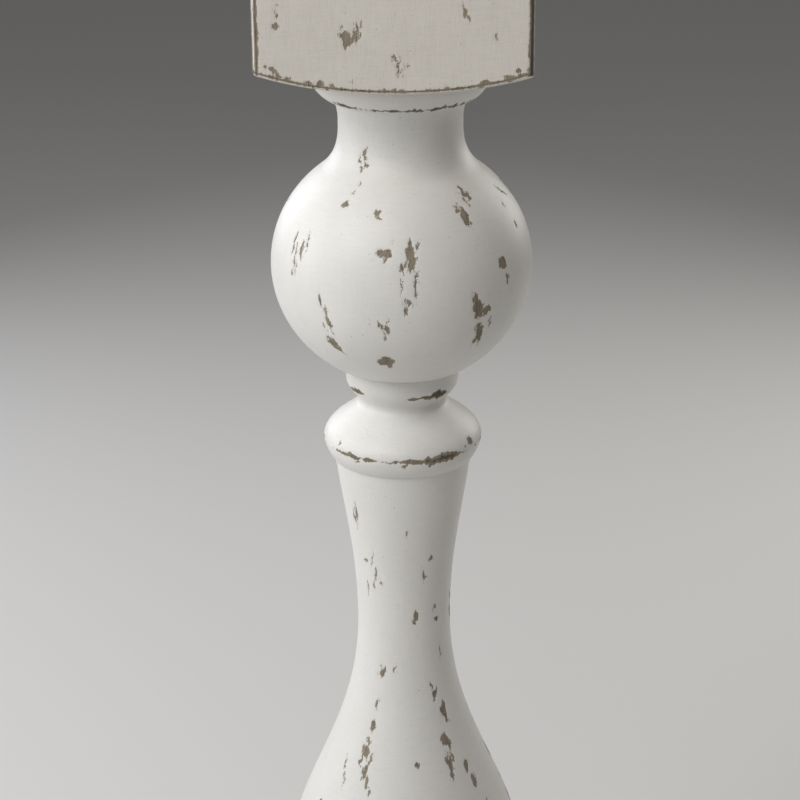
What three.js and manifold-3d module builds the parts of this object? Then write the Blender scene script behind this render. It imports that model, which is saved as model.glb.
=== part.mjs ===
// Floor candlestick: square blocks and turned sections stacked on a plinth, held by one tie rod, with an iron
// pan and spike for a pillar candle. Millimetres, +Z up. The origin is the middle of the footprint, on the
// floor.
import * as THREE from "three";
import { mergeVertices } from "three/addons/utils/BufferGeometryUtils.js";
import Module from "manifold-3d";

const wasm = await Module();
wasm.setup();

// Driving dimensions.
const blockSide = 128; // both square blocks, across the flats
const blockArris = 3; // radius of a block's upright edges
const topBlockHeight = 112; // from the seat to the flat top
const baseBlockHeight = 92; // from the plinth to the seat
const pommelRadius = 128; // radius of the turned shoulder's arc
const pommelOffset = 36; // distance of that arc's centre from the axis
const topBlockEdge = 2.5; // rounding round the top block's flat top
const baseBlockEdge = 1.5; // rounding round the base block's lower end

const plinthSide = 178;
const plinthHeight = 22;
const plinthEdge = 5; // rounding of the plinth's edges
const plinthCorner = 6; // radius of the plinth's upright corners

const footLength = 34;
const footBead = 40; // radius of the bead above the foot's cove
const footBeadHeight = 21; // lower end of that bead, above the foot's lower end
const footCove = 34; // radius where the cove meets the bead
const vaseLength = 318;
const vaseFootRadius = 33; // where the vase meets the foot
const bellyRadius = 64.5;
const bellyHeight = 72; // above the vase's lower end
const waistRadius = 24.2;
const waistHeight = 226.5; // above the vase's lower end
const vaseTopRadius = 34.8;
const ringLength = 49.5;
const ringRadius = 40.2; // widest point, at its worn arris
const ringArris = 10.3; // height of that arris above the ring's lower end
const ringSeat = 35.6; // radius of the ring's lower face
const coveRadius = 25.2; // where the ring's dome turns into its cove
const coveHeight = 26.5; // above the ring's lower end
const throatRadius = 22; // slimmest point, in that cove
const throatHeight = 30.4;
const collarRadius = 28.5;
const collarHeight = 43; // lower edge of the collar's straight part
const ballLength = 148;
const ballRadius = 64.8;
const ballRise = 61; // half the ball's height
const ballHeight = 52.7; // its middle, above the section's lower end
const ballShoulder = 52; // degrees up the ball where the neck's fillet starts
const neckRadius = 30.5;
const neckHeight = 122; // slimmest point of the neck, above the section's lower end
const neckStraight = 4; // straight stretch of the neck above that
const flareRadius = 44.5; // where a turned section meets a block
const flareInner = 33; // radius at the far end of the quarter round beside a block
const flareRise = 13.2; // height of that quarter round
const flareLip = 0.5; // its straight part, beside the block
const flarePower = 1.25; // 1 is a true quarter ellipse, and more is flatter

const rodDiameter = 10;
const boreClearance = 0.6; // rod to bore, on the radius
const spigotRadius = 13;
const spigotLength = 18;
const fitClearance = 0.3; // piece to piece, on a radius or end to end
const counterDepth = 20; // pocket for a nut in the top block
const plinthPocket = 14; // pocket for a nut under the plinth
const washerThickness = 2;
const rodProud = 2.5; // rod past each nut

const panMargin = 5; // block's edge to the pan's rim
const panSheet = 2;
const panRim = 10; // height of the pan, outside
const panBend = 4.5; // outer radius between floor and rim
const spikeHeight = 40; // above the pan's floor
const spikeRadius = 4;
const spikeTip = 0.6; // radius of the blunted tip
const spikeFlange = 8; // radius of the spike's flange
const flangeThickness = 1;
const spikeTail = 2.6; // riveted head under the pan
const tailRadius = 4.8;
const seatMargin = 2; // pressed seat in the pan's floor, past the spike's flange
const seatDepth = 0.5;
const panScrewCircle = 36;
const panScrewCount = 3;
const panScrew = { length: 20, shank: 1.8, head: 3.8, headHeight: 2.4 };
const plinthScrew = { length: 42, shank: 2.4, head: 4.8, headHeight: 3 };
const plinthScrewInset = 26; // block's side to a plinth screw
const plinthScrewSink = 5; // head below the plinth's underside

const padHeight = 3;
const padRadius = 11;
const padEase = 0.8; // bevel round a pad's foot
const padInset = 17; // plinth's side to a pad's middle

const rodChamfer = 1;
const pocketWall = 4; // room for a spanner round a nut
const past = 5; // how far a cutting shape runs past what it cuts

const latheSides = 30;
const smallSides = 12;
const corners = [
  [1, 1],
  [-1, 1],
  [-1, -1],
  [1, -1],
];

// Sizes and heights that follow from those above.
const boreRadius = rodDiameter / 2 + boreClearance;
const socketRadius = spigotRadius + fitClearance;
const socketDepth = spigotLength + 2 * fitClearance;
const nutHeight = 0.8 * rodDiameter;
const nutCorner = (1.7 * rodDiameter) / Math.sqrt(3);
const washerRadius = 1.05 * rodDiameter;
const counterRadius = Math.max(nutCorner, washerRadius) + pocketWall;
const panRadius = blockSide / 2 - panMargin;
const spikeHole = 0.8 * spikeRadius;

const plinthBottom = padHeight + fitClearance;
const baseBlockBottom = plinthBottom + plinthHeight + fitClearance;
const footBottom = baseBlockBottom + baseBlockHeight + fitClearance;
const vaseBottom = footBottom + footLength + fitClearance;
const ringBottom = vaseBottom + vaseLength + fitClearance;
const ballBottom = ringBottom + ringLength + fitClearance;
const topBlockBottom = ballBottom + ballLength + fitClearance;
const panBottom = topBlockBottom + topBlockHeight + fitClearance;
const nutPocketFloor = topBlockBottom + topBlockHeight - counterDepth;
const plinthPocketRoof = plinthBottom + plinthPocket;

const paintedWood = new THREE.MeshStandardMaterial({ color: 0xe4e0d8, roughness: 0.55, metalness: 0 });
const iron = new THREE.MeshStandardMaterial({ color: 0x35312d, roughness: 0.6, metalness: 0.9 });
const steel = new THREE.MeshStandardMaterial({ color: 0xb4b6b8, roughness: 0.4, metalness: 1 });
const rubber = new THREE.MeshStandardMaterial({ color: 0x2b2a28, roughness: 0.85, metalness: 0 });

const candlestick = new THREE.Group();

function addPiece(name, geometry, material, x, y, z) {
  const piece = new THREE.Mesh(geometry, material);
  piece.name = name;
  piece.position.set(x, y, z);
  candlestick.add(piece);
}

// Turns an outline of (radius, height) points about the Z axis.
function turn(points, sides) {
  const geometry = new THREE.LatheGeometry(points, sides);
  geometry.rotateX(Math.PI / 2);
  return geometry;
}

function at(radius, height) {
  return new THREE.Vector2(radius, height);
}

function toSolid(geometry) {
  const plain = geometry.clone();
  plain.deleteAttribute("normal");
  plain.deleteAttribute("uv");
  const merged = mergeVertices(plain, 1e-4);
  const indices = merged.index.array;
  const kept = [];
  for (let i = 0; i < indices.length; i += 3) {
    const [a, b, c] = indices.slice(i, i + 3);
    if (a !== b && b !== c && c !== a) kept.push(a, b, c);
  }
  const vertProperties = merged.attributes.position.array;
  return new wasm.Manifold(new wasm.Mesh({ numProp: 3, vertProperties, triVerts: new Uint32Array(kept) }));
}

function toGeometry(solid) {
  const mesh = solid.getMesh();
  const geometry = new THREE.BufferGeometry();
  geometry.setAttribute("position", new THREE.BufferAttribute(mesh.vertProperties, 3));
  geometry.setIndex(new THREE.BufferAttribute(mesh.triVerts, 1));
  geometry.computeVertexNormals();
  return geometry;
}

// A square board with rounded upright corners and rounded edges above and below.
function squareBoard(side, corner, edge, bottom, top) {
  const half = side / 2 - edge;
  const bend = Math.max(corner - edge, 0.2);
  const outline = new THREE.Shape();
  for (let quarter = 0; quarter < 4; quarter++) {
    const angle = (quarter * Math.PI) / 2;
    const middle = at(half - bend, half - bend).rotateAround(at(0, 0), angle);
    outline.absarc(middle.x, middle.y, bend, angle, angle + Math.PI / 2);
  }
  const depth = top - bottom - 2 * edge;
  const bevel = { bevelSize: edge, bevelThickness: edge, bevelSegments: 3 };
  const geometry = new THREE.ExtrudeGeometry(outline, { depth, ...bevel, curveSegments: 3 });
  geometry.translate(0, 0, bottom + edge);
  return toSolid(geometry);
}

// A flattened quarter round beside a block, from its outer edge at height 0 to its worn arris.
function flareOutline(steps) {
  const points = [at(flareRadius, 0)];
  for (let i = 0; i < steps; i++) {
    const angle = (i / steps) * (Math.PI / 2);
    const radius = flareInner + (flareRadius - flareInner) * Math.cos(angle) ** flarePower;
    const height = flareLip + (flareRise - flareLip) * Math.sin(angle) ** flarePower;
    points.push(at(radius, height));
  }
  points.push(at(flareInner, flareRise));
  return points;
}

// The shoulder turned on a block's end, as (radius, distance back from the seat) out to past the corners.
function pommelOutline(steps) {
  const corner = blockSide / Math.SQRT2 + past;
  const seatHeight = Math.sqrt(pommelRadius ** 2 - (flareRadius - pommelOffset) ** 2);
  const points = [];
  for (let i = 0; i <= steps; i++) {
    const radius = flareRadius + ((corner - flareRadius) * i) / steps;
    points.push(at(radius, seatHeight - Math.sqrt(pommelRadius ** 2 - (radius - pommelOffset) ** 2)));
  }
  return points;
}

// The walls of a lower end's socket, from the bore out to the socket's rim.
function socketWalls() {
  return [at(boreRadius, socketDepth), at(socketRadius, socketDepth), at(socketRadius, 0)];
}

// A turned section: a socket below, its outline from the lower end up, a spigot above and a bore.
function turnedSection(outline, length) {
  const points = [...socketWalls(), ...outline];
  points.push(at(spigotRadius, length));
  points.push(at(spigotRadius, length + spigotLength));
  points.push(at(boreRadius, length + spigotLength));
  points.push(at(boreRadius, socketDepth));
  return turn(points, latheSides);
}

// Each pull below says how far a curve's handle reaches from the point named, as (outward, upward).
function curveBetween(start, startPull, end, endPull) {
  const leaving = at(start.x + startPull[0], start.y + startPull[1]);
  const arriving = at(end.x + endPull[0], end.y + endPull[1]);
  return new THREE.CubicBezierCurve(start, leaving, arriving, end);
}

function footTurning() {
  const flare = flareOutline(5);
  const beadStart = at(footCove, footBeadHeight);
  const beadEnd = at(vaseFootRadius + 2, footLength);
  const swell = ((footBead - footCove) * 4) / 3; // puts the middle of the bead's curve at footBead
  const cove = curveBetween(flare.at(-1), [-1.6, 0.8], beadStart, [-3, -2]);
  const bead = curveBetween(beadStart, [swell, 0], beadEnd, [swell - beadEnd.x + beadStart.x, 0]);
  const outline = [...flare, ...cove.getPoints(4).slice(1), ...bead.getPoints(6).slice(1)];
  return turnedSection(outline, footLength);
}

function vaseTurning() {
  const foot = at(vaseFootRadius, 0);
  const belly = at(bellyRadius, bellyHeight);
  const waist = at(waistRadius, waistHeight);
  const top = at(vaseTopRadius, vaseLength);
  const swelling = curveBetween(foot, [16, 10], belly, [0, -34]);
  const narrowing = curveBetween(belly, [0, 53], waist, [0, -68.5]);
  const opening = curveBetween(waist, [0, 36], top, [-5.2, -36.5]);
  const outline = [...swelling.getPoints(7), ...narrowing.getPoints(7).slice(1)];
  outline.push(...opening.getPoints(7).slice(1));
  return turnedSection(outline, vaseLength);
}

function ringTurning() {
  const arris = at(ringRadius, ringArris);
  const coveEdge = at(coveRadius, coveHeight);
  const throat = at(throatRadius, throatHeight);
  const collarEdge = at(collarRadius, collarHeight);
  const under = curveBetween(at(ringSeat, 0), [2.7, 3.4], arris, [-0.4, -3.4]);
  const dome = curveBetween(arris, [0, 6.5], coveEdge, [7, -4.5]);
  const cove = curveBetween(coveEdge, [-1.8, 1.15], throat, [0, -2.2]);
  const collar = curveBetween(throat, [0, 3.5], collarEdge, [0, -7.2]);
  const outline = [...under.getPoints(4), ...dome.getPoints(6).slice(1), ...cove.getPoints(3).slice(1)];
  outline.push(...collar.getPoints(5).slice(1), at(collarRadius, ringLength));
  return turnedSection(outline, ringLength);
}

function ballTurning() {
  const lowest = Math.asin(-ballHeight / ballRise);
  const highest = (ballShoulder * Math.PI) / 180;
  const steps = 12;
  const outline = [];
  for (let i = 0; i <= steps; i++) {
    const angle = lowest + ((highest - lowest) * i) / steps;
    outline.push(at(ballRadius * Math.cos(angle), ballHeight + ballRise * Math.sin(angle)));
  }
  const along = at(-ballRadius * Math.sin(highest), ballRise * Math.cos(highest)).setLength(8.7);
  const neck = at(neckRadius, neckHeight);
  const neckTop = at(neckRadius, neckHeight + neckStraight);
  const fillet = curveBetween(outline.at(-1), [along.x, along.y], neck, [0, -8.8]);
  const flare = flareOutline(5).map((point) => at(point.x, ballLength - point.y));
  const cove = curveBetween(neckTop, [0, 3.5], flare.at(-1), [-1.2, -0.6]);
  outline.push(...fillet.getPoints(4).slice(1), ...cove.getPoints(4).slice(0, -1));
  outline.push(...flare.reverse());
  return turnedSection(outline, ballLength);
}

// A wood screw standing on its point, with room around it when grow is above 0.
function screwShape(screw, grow, headRoom) {
  const neck = screw.length - screw.headHeight;
  const points = [at(0, -grow), at(screw.shank + grow, screw.shank * 2), at(screw.shank + grow, neck)];
  points.push(at(screw.head + grow, screw.length));
  if (headRoom > 0) points.push(at(screw.head + grow, screw.length + headRoom));
  points.push(at(0, screw.length + headRoom));
  return turn(points, smallSides);
}

const plinthScrewAt = blockSide / 2 - plinthScrewInset;
const plinthScrewSpots = corners.map(([x, y]) => [x * plinthScrewAt, y * plinthScrewAt]);
const plinthScrewTop = plinthBottom + plinthScrewSink + plinthScrew.length;

const panScrewSpots = [];
for (let i = 0; i < panScrewCount; i++) {
  const angle = Math.PI / 2 + (2 * Math.PI * i) / panScrewCount;
  panScrewSpots.push([panScrewCircle * Math.cos(angle), panScrewCircle * Math.sin(angle)]);
}
const panScrewBottom = panBottom + panSheet - panScrew.length;

// Cuts the room for the plinth's screws, which point up, out of a solid whose own origin stands at height z.
function cutPlinthScrews(solid, z) {
  let cut = solid;
  for (const [x, y] of plinthScrewSpots) {
    const hole = screwShape(plinthScrew, fitClearance, plinthScrewSink + past);
    hole.rotateX(Math.PI);
    hole.translate(x, y, plinthScrewTop - z);
    cut = cut.subtract(toSolid(hole));
  }
  return cut;
}

function cutPanScrews(solid, z) {
  let cut = solid;
  for (const [x, y] of panScrewSpots) {
    const hole = screwShape(panScrew, fitClearance, past);
    hole.translate(x, y, panScrewBottom - z);
    cut = cut.subtract(toSolid(hole));
  }
  return cut;
}

function basePlinth() {
  const around = [at(counterRadius, -past), at(plinthSide, -past), at(plinthSide, plinthHeight + past)];
  around.push(at(boreRadius, plinthHeight + past), at(boreRadius, plinthPocket));
  around.push(at(counterRadius, plinthPocket), at(counterRadius, -past));
  const board = squareBoard(plinthSide, plinthCorner, plinthEdge, 0, plinthHeight);
  return toGeometry(cutPlinthScrews(board.intersect(toSolid(turn(around, latheSides))), plinthBottom));
}

function baseBlock() {
  const shoulder = pommelOutline(5).map((point) => at(point.x, baseBlockHeight - point.y));
  const around = [at(boreRadius, -past), at(shoulder.at(-1).x, -past), ...shoulder.reverse()];
  around.push(at(spigotRadius, baseBlockHeight), at(spigotRadius, baseBlockHeight + spigotLength));
  around.push(at(boreRadius, baseBlockHeight + spigotLength), at(boreRadius, -past));
  const board = squareBoard(blockSide, blockArris, baseBlockEdge, 0, baseBlockHeight + spigotLength + past);
  return toGeometry(cutPlinthScrews(board.intersect(toSolid(turn(around, latheSides))), baseBlockBottom));
}

function topBlock() {
  const shoulder = pommelOutline(5);
  const pocketFloor = topBlockHeight - counterDepth;
  const around = [...socketWalls(), ...shoulder];
  around.push(at(shoulder.at(-1).x, topBlockHeight + past), at(counterRadius, topBlockHeight + past));
  around.push(at(counterRadius, pocketFloor), at(boreRadius, pocketFloor), at(boreRadius, socketDepth));
  const board = squareBoard(blockSide, blockArris, topBlockEdge, -past, topBlockHeight);
  return toGeometry(cutPanScrews(board.intersect(toSolid(turn(around, latheSides))), topBlockBottom));
}

// A dish of bent sheet, with a seat pressed into its floor for the spike's flange.
function candlePan() {
  const hole = spikeHole + fitClearance;
  const seat = spikeFlange + seatMargin;
  const floor = new THREE.Path();
  floor.moveTo(hole, 0);
  floor.lineTo(panRadius - panBend, 0);
  floor.absarc(panRadius - panBend, panBend, panBend, -Math.PI / 2, 0);
  floor.absarc(panRadius - panSheet / 2, panRim - panSheet / 2, panSheet / 2, 0, Math.PI);
  floor.absarc(panRadius - panBend, panBend, panBend - panSheet, 0, -Math.PI / 2, true);
  floor.lineTo(seat, panSheet);
  floor.lineTo(seat - seatDepth, panSheet - seatDepth);
  floor.lineTo(hole, panSheet - seatDepth);
  floor.lineTo(hole, 0);
  return toGeometry(cutPanScrews(toSolid(turn(floor.getPoints(3), latheSides)), panBottom));
}

// The spike: a riveted head and tail below the pan, a flange on its floor, and a slim cone.
function candleSpike() {
  const flangeBottom = panSheet - seatDepth + fitClearance;
  const flangeTop = flangeBottom + flangeThickness;
  const tip = panSheet + spikeHeight;
  const points = [at(0, -spikeTail), at(tailRadius, -spikeTail), at(tailRadius, -fitClearance)];
  points.push(at(spikeHole, -fitClearance), at(spikeHole, flangeBottom), at(spikeFlange, flangeBottom));
  points.push(at(spikeFlange, flangeTop), at(spikeRadius + 0.6, flangeTop + 1));
  points.push(at(spikeRadius, flangeTop + 4), at(spikeTip, tip - 1), at(0, tip));
  return turn(points, smallSides);
}

function tieRod(bottom, top) {
  const radius = rodDiameter / 2;
  const points = [at(0, bottom), at(radius - rodChamfer, bottom), at(radius, bottom + rodChamfer)];
  points.push(at(radius, top - rodChamfer), at(radius - rodChamfer, top), at(0, top));
  return turn(points, smallSides);
}

function hexNut() {
  const outline = new THREE.Shape();
  for (let i = 0; i < 6; i++) {
    const angle = (Math.PI / 3) * i;
    outline[i === 0 ? "moveTo" : "lineTo"](nutCorner * Math.cos(angle), nutCorner * Math.sin(angle));
  }
  outline.closePath();
  const hole = new THREE.Path();
  hole.absarc(0, 0, rodDiameter / 2 + fitClearance, 0, 2 * Math.PI, true);
  outline.holes.push(hole);
  const settings = { depth: nutHeight, bevelEnabled: false, curveSegments: smallSides };
  return new THREE.ExtrudeGeometry(outline, settings);
}

function washer() {
  const inner = rodDiameter / 2 + fitClearance;
  const points = [at(inner, 0), at(washerRadius, 0), at(washerRadius, washerThickness)];
  points.push(at(inner, washerThickness), at(inner, 0));
  return turn(points, smallSides);
}

function footPad() {
  const points = [at(0, 0), at(padRadius - padEase, 0), at(padRadius, padEase)];
  points.push(at(padRadius, padHeight), at(0, padHeight));
  return turn(points, smallSides);
}

const padAt = plinthSide / 2 - padInset;
corners.forEach(([x, y], i) => addPiece(`foot_pad_${i + 1}`, footPad(), rubber, x * padAt, y * padAt, 0));

addPiece("base_plinth", basePlinth(), paintedWood, 0, 0, plinthBottom);
addPiece("base_block", baseBlock(), paintedWood, 0, 0, baseBlockBottom);
addPiece("foot_turning", footTurning(), paintedWood, 0, 0, footBottom);
addPiece("vase_turning", vaseTurning(), paintedWood, 0, 0, vaseBottom);
addPiece("ring_turning", ringTurning(), paintedWood, 0, 0, ringBottom);
addPiece("ball_turning", ballTurning(), paintedWood, 0, 0, ballBottom);
addPiece("top_block", topBlock(), paintedWood, 0, 0, topBlockBottom);
addPiece("candle_pan", candlePan(), iron, 0, 0, panBottom);
addPiece("candle_spike", candleSpike(), iron, 0, 0, panBottom);

panScrewSpots.forEach(([x, y], i) => {
  addPiece(`pan_screw_${i + 1}`, screwShape(panScrew, 0, 0), steel, x, y, panScrewBottom);
});
plinthScrewSpots.forEach(([x, y], i) => {
  const screw = screwShape(plinthScrew, 0, 0);
  screw.rotateX(Math.PI);
  addPiece(`plinth_screw_${i + 1}`, screw, steel, x, y, plinthScrewTop);
});

const lowerWasherTop = plinthPocketRoof - fitClearance;
const lowerNutTop = lowerWasherTop - washerThickness - fitClearance;
const upperWasherBottom = nutPocketFloor + fitClearance;
const upperNutBottom = upperWasherBottom + washerThickness + fitClearance;
const rodBottom = lowerNutTop - nutHeight - rodProud;
const rodTop = upperNutBottom + nutHeight + rodProud;
addPiece("tie_rod", tieRod(rodBottom, rodTop), steel, 0, 0, 0);
addPiece("rod_washer_bottom", washer(), steel, 0, 0, lowerWasherTop - washerThickness);
addPiece("rod_nut_bottom", hexNut(), steel, 0, 0, lowerNutTop - nutHeight);
addPiece("rod_washer_top", washer(), steel, 0, 0, upperWasherBottom);
addPiece("rod_nut_top", hexNut(), steel, 0, 0, upperNutBottom);

export default candlestick;
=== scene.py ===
import itertools
import math

import bmesh
import bpy
import numpy as np
from mathutils import Euler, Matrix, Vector
from mathutils.geometry import delaunay_2d_cdt


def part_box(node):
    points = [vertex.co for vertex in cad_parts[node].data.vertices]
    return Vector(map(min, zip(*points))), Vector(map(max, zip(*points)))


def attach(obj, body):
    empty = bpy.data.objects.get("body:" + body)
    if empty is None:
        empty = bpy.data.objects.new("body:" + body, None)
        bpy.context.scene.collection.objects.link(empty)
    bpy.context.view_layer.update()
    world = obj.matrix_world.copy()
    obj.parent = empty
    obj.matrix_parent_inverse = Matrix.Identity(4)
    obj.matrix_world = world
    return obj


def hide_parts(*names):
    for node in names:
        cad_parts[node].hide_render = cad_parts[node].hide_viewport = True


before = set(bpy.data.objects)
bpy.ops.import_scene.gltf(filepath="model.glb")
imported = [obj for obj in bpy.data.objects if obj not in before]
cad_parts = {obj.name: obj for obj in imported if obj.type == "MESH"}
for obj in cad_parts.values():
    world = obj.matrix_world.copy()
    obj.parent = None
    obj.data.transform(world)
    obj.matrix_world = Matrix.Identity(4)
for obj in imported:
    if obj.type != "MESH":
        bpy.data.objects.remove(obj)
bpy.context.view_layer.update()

mm = 0.001

# Camera: a long lens a little above the column's upper half, looking down at it
view = {
    "lens": 100.0,  # mm, on a 36 mm sensor
    "distance": 1056.0,  # mm from the column's axis, level
    "height": 900.0,
    "azimuth": 3.1,  # degrees towards the right
    "pitch": 20.8,  # degrees down
    "yaw": 0.07,
    "roll": -0.44,
}


def addCamera():
    around = math.radians(view["azimuth"])
    camera = bpy.data.objects.new("camera", bpy.data.cameras.new("camera"))
    camera.data.lens = view["lens"]
    camera.data.sensor_width = 36
    camera.location = Vector((
        view["distance"] * math.sin(around),
        -view["distance"] * math.cos(around),
        view["height"],
    )) * mm
    turn = Euler((0, 0, around + math.radians(view["yaw"]))).to_matrix()
    tilt = Euler((math.radians(90 - view["pitch"]), 0, 0)).to_matrix()
    lean = Euler((0, 0, math.radians(view["roll"]))).to_matrix()
    camera.rotation_euler = (turn @ tilt @ lean).to_euler()
    bpy.context.scene.collection.objects.link(camera)
    bpy.context.scene.camera = camera


addCamera()
print("camera placed")

# Soft light from large panels: most from the left and above, with faint ones behind, and a dim surround
lighting = {
    "surround": 0.13,
    "aim": 600,  # height in mm that the panels face
    "panels": [
        # name, bearing, elevation, distance, width, height, watts, colour
        ("sidePanel", -90, 15, 1500, 800, 1100, 8.4, (1.0, 0.99, 0.99)),
        ("leftPanel", -45, 35, 1500, 800, 1100, 10.4, (0.95, 1.0, 1.02)),
        ("highPanel", -20, 45, 1800, 1000, 900, 6.6, (1.0, 0.88, 0.79)),
        ("frontPanel", 5, 12, 2000, 1200, 1000, 2.2, (1.0, 0.97, 0.96)),
        ("backPanel", 140, 15, 1700, 900, 1100, 9.8, (1.0, 0.97, 0.92)),
        ("farPanel", -135, 15, 1700, 900, 1100, 9.2, (0.9, 0.92, 1.0)),
    ],
}


def addLight(name, bearing, elevation, distance, width, height, watts, colour):
    lamp = bpy.data.lights.new(name, "AREA")
    lamp.shape = "RECTANGLE"
    lamp.size = width * mm
    lamp.size_y = height * mm
    lamp.energy = watts
    lamp.color = colour
    holder = bpy.data.objects.new(name, lamp)
    aside, up = math.radians(bearing), math.radians(elevation)
    outward = Vector((math.sin(aside) * math.cos(up), -math.cos(aside) * math.cos(up), math.sin(up)))
    holder.location = Vector((0, 0, lighting["aim"] * mm)) + outward * distance * mm
    holder.rotation_euler = outward.to_track_quat("Z", "Y").to_euler()
    bpy.context.scene.collection.objects.link(holder)


for panel in lighting["panels"]:
    addLight(*panel)
world = bpy.data.worlds.new("surround")
world.use_nodes = True
world.node_tree.nodes["Background"].inputs["Color"].default_value = (1, 1, 1, 1)
world.node_tree.nodes["Background"].inputs["Strength"].default_value = lighting["surround"]
bpy.context.scene.world = world
bpy.context.scene.view_settings.view_transform = "Standard"
print("light placed")


# Shader sums: a Wire is one output of a node, and arithmetic on it adds Math nodes
class Wire:
    def __init__(self, tree, socket=None):
        self.tree = tree
        self.socket = socket

    def node(self, kind, settings, inputs, output=0):
        made = self.tree.nodes.new(kind)
        for key, value in settings.items():
            setattr(made, key, value)
        for key, value in inputs.items():
            if isinstance(value, Wire):
                self.tree.links.new(value.socket, made.inputs[key])
            elif isinstance(value, tuple) and made.inputs[key].type == "RGBA":
                made.inputs[key].default_value = (*value, 1)
            else:
                made.inputs[key].default_value = value
        return Wire(self.tree, made.outputs[output] if made.outputs else None)

    def maths(self, operation, first, second=0.0, clamp=False):
        settings = {"operation": operation, "use_clamp": clamp}
        return self.node("ShaderNodeMath", settings, {0: first, 1: second})

    def __add__(self, other):
        return self.maths("ADD", self, other)

    def __radd__(self, other):
        return self.maths("ADD", other, self)

    def __sub__(self, other):
        return self.maths("SUBTRACT", self, other)

    def __rsub__(self, other):
        return self.maths("SUBTRACT", other, self)

    def __mul__(self, other):
        return self.maths("MULTIPLY", self, other)

    def __rmul__(self, other):
        return self.maths("MULTIPLY", other, self)

    # 0 below the level and 1 above it, over a soft step
    def above(self, level, softness):
        return self.maths("ADD", (self - level) * (1 / softness), 0.5, clamp=True)

    # one colour where this is 0 and another where it is 1
    def mixed(self, first, second):
        settings = {"data_type": "RGBA", "clamp_factor": True}
        return self.node("ShaderNodeMix", settings, {0: self, 6: first, 7: second}, 2)

    def stretched(self, scale):
        return self.node("ShaderNodeVectorMath", {"operation": "MULTIPLY"}, {0: self, 1: scale})

    # noise with features of about this size in mm, around 0.5
    def noise(self, size, detail=2.0, roughness=0.5):
        inputs = {"Vector": self, "Scale": 1 / (size * mm), "Detail": detail, "Roughness": roughness}
        return self.node("ShaderNodeTexNoise", {"normalize": True}, inputs)


def newMaterial(name):
    material = bpy.data.materials.new(name)
    material.use_nodes = True
    material.node_tree.nodes.clear()
    start = Wire(material.node_tree)
    return material, start, start.node("ShaderNodeTexCoord", {}, {}, "Object")


# Ends a material: one shader with its colour, roughness, metal and a bump whose height is in mm
def finishWith(start, colour, roughness, height, metallic=0.0):
    bump = start.node("ShaderNodeBump", {}, {"Height": height, "Distance": mm, "Strength": 1.0})
    inputs = {"Base Color": colour, "Roughness": roughness, "Metallic": metallic, "Normal": bump}
    shader = start.node("ShaderNodeBsdfPrincipled", {}, inputs)
    start.node("ShaderNodeOutputMaterial", {}, {"Surface": shader})


distressed = {
    "woodDark": (0.135, 0.112, 0.078),
    "woodLight": (0.37, 0.315, 0.235),
    "paintedArrisShade": (0.055, 0.046, 0.034),  # painted shade: the deepest worn lines along the arrises darkened as if shadowed under a small lip
    "speck": (0.34, 0.31, 0.26),
    "streaks": 3.6,  # mm that upright streaks move a flake's edge, for noise from 0 to 1
    "crumbs": 2.4,  # the same for fine noise
    "skin": 0.10,  # mm of paint in the bump, beside what the mesh holds
    "whole": -4.0,  # wear where the paint is whole
}


# Off-white chalk paint over brown wood. The mesh carries "wear": mm inside a worn patch, below 0 outside it
def paintedWood(name, look):
    material, start, place = newMaterial(name)
    wear = start.node("ShaderNodeAttribute", {"attribute_name": "wear"}, {}, "Fac")
    streaks = place.stretched((1, 1, 0.2)).noise(1.1, 2, 0.55)
    crumbs = place.stretched((1, 1, 0.7)).noise(0.5, 2, 0.6)
    edge = wear + (streaks - 0.5) * distressed["streaks"] + (crumbs - 0.5) * distressed["crumbs"]
    bare = edge.above(0.0, 0.25)
    thin = edge.above(-0.7, 0.9)
    # brush marks: short soft ridges, some level and some upright
    level = place.stretched(look["level"]).noise(0.6, 2, 0.6)
    upright = place.stretched((1, 1, 0.1)).noise(0.7, 3, 0.6)
    brush = level * look["levelShare"] + upright * (1 - look["levelShare"])
    cloud = place.noise(34, 2)
    drift = place.stretched((1, 1, 0.3)).noise(9, 3, 0.6)
    freckles = place.stretched((1, 1, 0.7)).noise(0.75, 1)
    spotted = freckles.above(0.745, 0.03) * place.noise(8, 1).above(0.5, 0.15)
    clouded = (cloud * 0.5 + drift * 0.5).above(0.52, 0.4) * 0.3
    glaze = clouded + (0.5 - brush).above(0.06, 0.22) * look["glaze"]
    paint = glaze.mixed(look["paint"], look["stain"])
    paint = (spotted * 0.7).mixed(paint, distressed["speck"])
    paint = (thin * 0.2).mixed(paint, look["stain"])
    grain = place.stretched((1, 1, 0.06)).noise(0.55, 4, 0.65)
    figure = place.stretched((1, 1, 0.1)).noise(3.5, 2)
    lit = (grain * 0.65 + figure * 0.35).above(0.5, 0.3)
    wood = lit.mixed(distressed["woodDark"], distressed["woodLight"])
    # painted shade: the deepest worn lines along the arrises are darkened, as if shadowed under a small lip
    wood = (edge.above(3.4, 1.6) * 0.75).mixed(wood, distressed["paintedArrisShade"])
    colour = bare.mixed(paint, wood)
    roughness = bare * 0.36 + brush * 0.12 + look["roughness"]
    height = (1 - bare) * distressed["skin"] + brush * look["depth"] + bare * grain * 0.12
    finishWith(start, colour, roughness, height)
    return material


turnedPaint = paintedWood("turnedPaint", {
    "paint": (0.81, 0.80, 0.775),
    "stain": (0.68, 0.66, 0.615),
    "level": (0.07, 0.07, 1.0),
    "levelShare": 0.5,
    "glaze": 0.28,
    "depth": 0.10,
    "roughness": 0.36,
})
squarePaint = paintedWood("squarePaint", {
    "paint": (0.715, 0.68, 0.625),
    "stain": (0.58, 0.545, 0.48),
    "level": (0.1, 0.1, 1.0),
    "levelShare": 0.45,
    "glaze": 0.42,
    "depth": 0.14,
    "roughness": 0.42,
})

waxedIron = {"dark": (0.020, 0.018, 0.016), "rust": (0.075, 0.042, 0.025)}


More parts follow.
